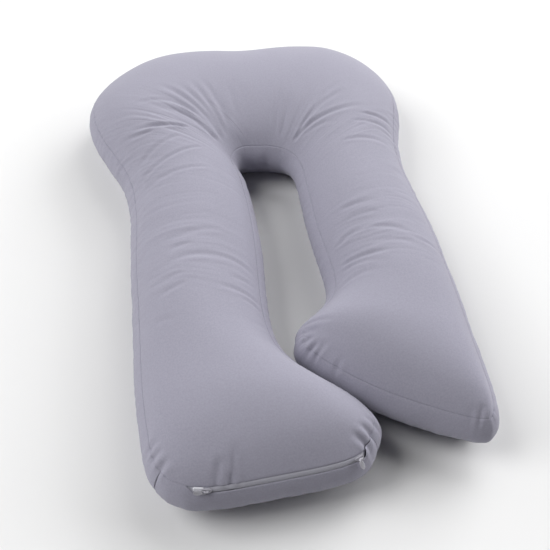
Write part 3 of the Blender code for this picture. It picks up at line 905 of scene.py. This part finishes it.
def slider_body():
    """Two plates on a waist with a pointed nose, and a strap over the top that holds the pull."""
    length, width, height, nose = 0.0125, 0.0098, 0.0038, 0.0035
    nothing_selected()
    bpy.ops.mesh.primitive_cube_add(
        size=1, location=(-nose / 2, 0, height / 2), scale=(length, width, height)
    )
    bpy.ops.object.transform_apply(location=True, scale=True)
    body = bpy.context.object
    bpy.ops.object.mode_set(mode="EDIT")
    pick(lambda middle, normal: normal.x > 0.9)
    bpy.ops.transform.resize(value=(1, 0.60, 1))
    bpy.ops.mesh.extrude_region_move(TRANSFORM_OT_translate={"value": (nose, 0, 0)})
    bpy.ops.transform.resize(value=(1, 0.42, 0.75))
    pick(lambda middle, way: abs(way.z) > 0.8 * way.length, "EDGE")
    bpy.ops.mesh.bevel(offset=0.0010, segments=4)
    for level in (0.36, 0.66):
        bpy.ops.mesh.select_all(action="SELECT")
        bpy.ops.mesh.bisect(plane_co=(0, 0, level * height), plane_no=(0, 0, 1))
    pick(lambda middle, normal: abs(normal.z) < 0.5 and 0.36 * height < middle.z < 0.66 * height)
    bpy.ops.mesh.extrude_region_shrink_fatten(TRANSFORM_OT_shrink_fatten={"value": -0.0009})
    pick(lambda middle, normal: normal.z > 0.9 and middle.z > 0.9 * height)
    bpy.ops.mesh.inset(thickness=0.0013)
    bpy.ops.mesh.extrude_region_move(TRANSFORM_OT_translate={"value": (0, 0, -0.0010)})
    bpy.ops.object.mode_set(mode="OBJECT")
    rounded_off(body, 0.00022)

    nothing_selected()
    bpy.ops.mesh.primitive_torus_add(
        major_radius=0.0031, minor_radius=0.0007, major_segments=28, minor_segments=10,
        location=(-0.0014, 0, height - 0.0003), rotation=(math.radians(90), 0, 0))
    strap = bpy.context.object
    bpy.ops.object.transform_apply(location=True, rotation=True)
    bpy.ops.object.mode_set(mode="EDIT")
    bpy.ops.mesh.select_all(action="SELECT")
    bpy.ops.transform.resize(value=(1.15, 1.7, 1.25))
    bpy.ops.object.mode_set(mode="OBJECT")
    bpy.ops.object.shade_smooth()
    body.select_set(True)
    bpy.context.view_layer.objects.active = body
    bpy.ops.object.join()
    return body


def leaf_pull():
    """A leaf-shaped pull along -X with a dished face and an eye; its eye's bar is at the origin."""
    length, width, thick = 0.0205, 0.0092, 0.0013
    nothing_selected()
    bpy.ops.mesh.primitive_circle_add(vertices=32, radius=0.5, fill_type="NGON", location=(-length / 2, 0, 0))
    pull = bpy.context.object
    bpy.ops.object.transform_apply(location=True)
    bpy.ops.object.mode_set(mode="EDIT")
    bpy.ops.mesh.select_all(action="SELECT")
    bpy.ops.transform.resize(value=(length, width, 1))
    for edge, share in ((-0.62, 0.90), (-0.45, 0.86), (-0.28, 0.82)):
        pick(lambda place, normal, edge=edge: place.x > edge * length, "VERT")
        bpy.ops.transform.resize(value=(1, share, 1))
    bpy.ops.mesh.select_all(action="SELECT")
    bpy.ops.mesh.extrude_region_move(TRANSFORM_OT_translate={"value": (0, 0, thick)})
    bpy.ops.mesh.select_all(action="SELECT")
    bpy.ops.transform.translate(value=(0, 0, -thick / 2))
    bpy.ops.mesh.normals_make_consistent(inside=False)
    for side in (1, -1):
        pick(lambda middle, normal, side=side: normal.z * side > 0.9 and middle.z * side > 0.4 * thick)
        bpy.ops.mesh.inset(thickness=0.0012)
        bpy.ops.mesh.extrude_region_move(TRANSFORM_OT_translate={"value": (0, 0, -side * 0.0004)})
    bpy.ops.object.mode_set(mode="OBJECT")
    rounded_off(pull, 0.00016)

    nothing_selected()
    bpy.ops.mesh.primitive_cube_add(size=1, location=(-0.0032, 0, 0), scale=(0.0038, 0.0032, 0.01))
    eye = bpy.context.object
    bpy.ops.object.mode_set(mode="EDIT")
    pick(lambda middle, way: abs(way.z) > 0.8 * way.length, "EDGE")
    bpy.ops.mesh.bevel(offset=0.10, segments=3)
    bpy.ops.object.mode_set(mode="OBJECT")
    nothing_selected()
    pull.select_set(True)
    bpy.context.view_layer.objects.active = pull
    cut = pull.modifiers.new("eye", "BOOLEAN")
    cut.operation = "DIFFERENCE"
    cut.object = eye
    bpy.ops.object.modifier_apply(modifier=cut.name)
    bpy.data.objects.remove(eye)
    return pull


def build_sliders(metal):
    middle = 0.0058
    over_tape = 0.0004
    left = zip_frame(ZIP_TO - 0.052, middle, over_tape) @ Matrix.Rotation(math.radians(6), 4, "Z")
    placed(slider_body(), "slider_left", "zip_slider_left", metal, left)
    lying = Matrix.Translation((-0.0020, 0, 0.0052)) @ Matrix.Rotation(math.radians(-5), 4, "Y")
    placed(leaf_pull(), "pull_left", "zip_pull_left", metal, left @ lying)

    # The right pull hangs down the slope of the boxing, turned half on edge.
    right = zip_frame(ZIP_FROM + 0.046, middle, over_tape) @ Matrix.Rotation(math.radians(172), 4, "Z")
    placed(slider_body(), "slider_right", "zip_slider_right", metal, right)
    hanging = Matrix.Translation((0.0014, -0.0018, 0.0070))
    down = Matrix.Rotation(math.radians(-82), 4, "Z") @ Matrix.Rotation(math.radians(-48), 4, "X")
    placed(leaf_pull(), "pull_right", "zip_pull_right", metal, right @ hanging @ down)


def build_coil(material):
    """The closed coil along the tape's middle: one loop modelled, then copied along both rows."""
    nothing_selected()
    bpy.ops.mesh.primitive_cube_add(size=1, scale=(0.00058, 0.0016, 0.0007))
    bpy.ops.object.transform_apply(scale=True)
    loop = bpy.context.object
    bpy.ops.object.mode_set(mode="EDIT")
    pick(lambda middle, normal: abs(normal.y) > 0.9)
    bpy.ops.transform.resize(value=(0.7, 1, 0.6))
    bpy.ops.mesh.select_all(action="SELECT")
    bpy.ops.mesh.bevel(offset=0.00016, segments=1)
    bpy.ops.object.mode_set(mode="OBJECT")
    points = np.array([tuple(vert.co) for vert in loop.data.vertices])
    shape = [list(face.vertices) for face in loop.data.polygons]
    bpy.data.objects.remove(loop)

    first, last = ZIP_FROM + 0.066, ZIP_TO - 0.070
    length = float(OUTLINE.arc(zip_parameter(last)) - OUTLINE.arc(zip_parameter(first)))
    count = round(length / 0.00125)
    all_points, all_faces = [], []
    for k in range(count):
        share = first + (last - first) * (k + 0.5) / count
        frame_here = np.array(zip_frame(share, 0.0058 + 0.0006 * (-1) ** k, -0.00048))
        start = len(all_points) * len(points)
        all_points.append(points @ frame_here[:3, :3].T + frame_here[:3, 3])
        all_faces += [[start + index for index in face] for face in shape]
    coil = mesh_object("zip_coil", np.concatenate(all_points), all_faces, material)
    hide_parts("zip_teeth")


# ---------------------------------------------------------------- materials

def new_material(name, roughness, metallic=0.0, sheen=0.0):
    material = bpy.data.materials.new(name)
    material.use_nodes = True
    shader = material.node_tree.nodes["Principled BSDF"]
    shader.inputs["Roughness"].default_value = roughness
    shader.inputs["Metallic"].default_value = metallic
    shader.inputs["Sheen Weight"].default_value = sheen
    return material, material.node_tree, shader


def nap_group():
    """The effect every cloth here shares: a fine grain that shades the colour and lifts the surface."""
    group = bpy.data.node_groups.new("cloth_nap", "ShaderNodeTree")
    inputs = (("Dark", "Color"), ("Light", "Color"), ("Shade Scale", "Float"), ("Grain Scale", "Float"))
    for name, kind in inputs:
        group.interface.new_socket(name=name, in_out="INPUT", socket_type="NodeSocket" + kind)
    group.interface.new_socket(name="Color", in_out="OUTPUT", socket_type="NodeSocketColor")
    group.interface.new_socket(name="Height", in_out="OUTPUT", socket_type="NodeSocketFloat")
    given = group.nodes.new("NodeGroupInput")
    result = group.nodes.new("NodeGroupOutput")
    place = group.nodes.new("ShaderNodeTexCoord").outputs["Object"]
    shade = group.nodes.new("ShaderNodeTexNoise")
    grain = group.nodes.new("ShaderNodeTexNoise")
    for node, scale in ((shade, "Shade Scale"), (grain, "Grain Scale")):
        node.inputs["Detail"].default_value = 3
        group.links.new(place, node.inputs["Vector"])
        group.links.new(given.outputs[scale], node.inputs["Scale"])
    spread = group.nodes.new("ShaderNodeMapRange")
    spread.inputs["From Min"].default_value = 0.30
    spread.inputs["From Max"].default_value = 0.70
    group.links.new(shade.outputs["Fac"], spread.inputs["Value"])
    mix = group.nodes.new("ShaderNodeMix")
    mix.data_type = "RGBA"
    group.links.new(spread.outputs["Result"], mix.inputs["Factor"])
    group.links.new(given.outputs["Dark"], mix.inputs["A"])
    group.links.new(given.outputs["Light"], mix.inputs["B"])
    group.links.new(mix.outputs["Result"], result.inputs["Color"])
    group.links.new(grain.outputs["Fac"], result.inputs["Height"])
    return group


def cloth_material(group, name, dark, light, scales, bump_depth, roughness, sheen):
    material, tree, shader = new_material(name, roughness, sheen=sheen)
    shader.inputs["Specular IOR Level"].default_value = 0.15
    shader.inputs["Sheen Roughness"].default_value = 0.45
    nap = tree.nodes.new("ShaderNodeGroup")
    nap.node_tree = group
    nap.inputs["Dark"].default_value = (*dark, 1)
    nap.inputs["Light"].default_value = (*light, 1)
    nap.inputs["Shade Scale"].default_value, nap.inputs["Grain Scale"].default_value = scales
    tree.links.new(nap.outputs["Color"], shader.inputs["Base Color"])
    bump = tree.nodes.new("ShaderNodeBump")
    bump.inputs["Strength"].default_value = 0.3
    bump.inputs["Distance"].default_value = bump_depth
    tree.links.new(nap.outputs["Height"], bump.inputs["Height"])
    tree.links.new(bump.outputs["Normal"], shader.inputs["Normal"])
    return material


def coated_metal():
    material, _, shader = new_material("coated_slider_metal", 0.38, metallic=0.35)
    shader.inputs["Base Color"].default_value = (0.52, 0.51, 0.56, 1)
    return material


# ---------------------------------------------------------------- camera, light and floor

CAMERA = {"azimuth": -8.10, "elevation": 46.19, "distance": 1.783, "lens": 57.0, "roll": 0.21}
AIM = Vector((-0.0043, -0.1700, 0.09))


def build_camera():
    az, el = math.radians(CAMERA["azimuth"]), math.radians(CAMERA["elevation"])
    back = Vector((math.sin(az) * math.cos(el), -math.cos(az) * math.cos(el), math.sin(el)))
    camera = bpy.data.objects.new("camera", bpy.data.cameras.new("camera"))
    camera.data.lens = CAMERA["lens"]
    camera.data.sensor_width = 36
    camera.location = AIM + back * CAMERA["distance"]
    roll = Matrix.Rotation(math.radians(CAMERA["roll"]), 3, "Z").to_quaternion()
    turn = (-back).to_track_quat("-Z", "Y") @ roll
    camera.rotation_mode = "QUATERNION"
    camera.rotation_quaternion = turn
    bpy.context.scene.collection.objects.link(camera)
    bpy.context.scene.camera = camera


# Softboxes round the back and sides, aimed at the pillow: none stands in front, so that the slopes
# towards the camera fall off. Azimuths turn from +X to +Y.
SOFTBOXES = (
    # name, azimuth, elevation, size, power
    ("softbox_right", 0, 25, 5.0, 290),
    ("softbox_back_right_low", 45, 25, 5.0, 350),
    ("softbox_back_right_high", 45, 50, 5.0, 215),
    ("softbox_back", 90, 50, 5.0, 75),
    ("softbox_back_left", 135, 25, 5.0, 95),
    ("softbox_left_low", 180, 25, 5.0, 180),
    ("softbox_left_high", 180, 50, 5.0, 350),
)
SOFTBOX_DISTANCE = 8.0


def softbox(name, azimuth, elevation, size, power):
    turn, rise = math.radians(azimuth), math.radians(elevation)
    way = Vector((math.cos(turn) * math.cos(rise), math.sin(turn) * math.cos(rise), math.sin(rise)))
    light = bpy.data.lights.new(name, "AREA")
    light.size = size
    light.energy = power
    lamp = bpy.data.objects.new(name, light)
    lamp.location = way * SOFTBOX_DISTANCE
    lamp.rotation_euler = way.to_track_quat("Z", "Y").to_euler()
    bpy.context.scene.collection.objects.link(lamp)


def build_studio():
    bpy.context.scene.view_settings.view_transform = "Standard"
    world = bpy.data.worlds.new("studio")
    world.use_nodes = True
    world.node_tree.nodes["Background"].inputs["Color"].default_value = (1, 1, 1, 1)
    world.node_tree.nodes["Background"].inputs["Strength"].default_value = 0.02
    bpy.context.scene.world = world
    for row in SOFTBOXES:
        softbox(*row)

    bpy.ops.object.select_all(action="DESELECT")
    bpy.ops.mesh.primitive_plane_add(size=14, location=(0, 0, cad_box[0][2] - 0.0005))
    floor = bpy.context.object
    floor.name = "floor"
    material, _, shader = new_material("pale_floor", 0.9)
    shader.inputs["Base Color"].default_value = (0.80, 0.80, 0.80, 1)
    floor.data.materials.append(material)


def main():
    build_camera()
    build_studio()
    nap = nap_group()
    cloth = cloth_material(nap, "brushed_cloth", (0.311, 0.303, 0.368), (0.347, 0.339, 0.410),
                           (330, 900), 0.0007, 0.92, 0.14)
    grey_tape = cloth_material(nap, "grey_tape", (0.345, 0.340, 0.390), (0.400, 0.394, 0.448),
                               (1500, 1500), 0.0001, 0.72, 0.08)
    white_tape = cloth_material(nap, "white_tape", (0.60, 0.60, 0.64), (0.72, 0.72, 0.77),
                                (1500, 1500), 0.0002, 0.72, 0.08)
    coil = cloth_material(nap, "grey_coil", (0.350, 0.345, 0.395), (0.400, 0.394, 0.448),
                          (1500, 1500), 0.0001, 0.50, 0.0)
    pillow = build_pillow(cloth)
    build_boxing(cloth)
    build_tape(grey_tape)
    build_tape_end(white_tape)
    build_coil(coil)
    build_sliders(coated_metal())


main()
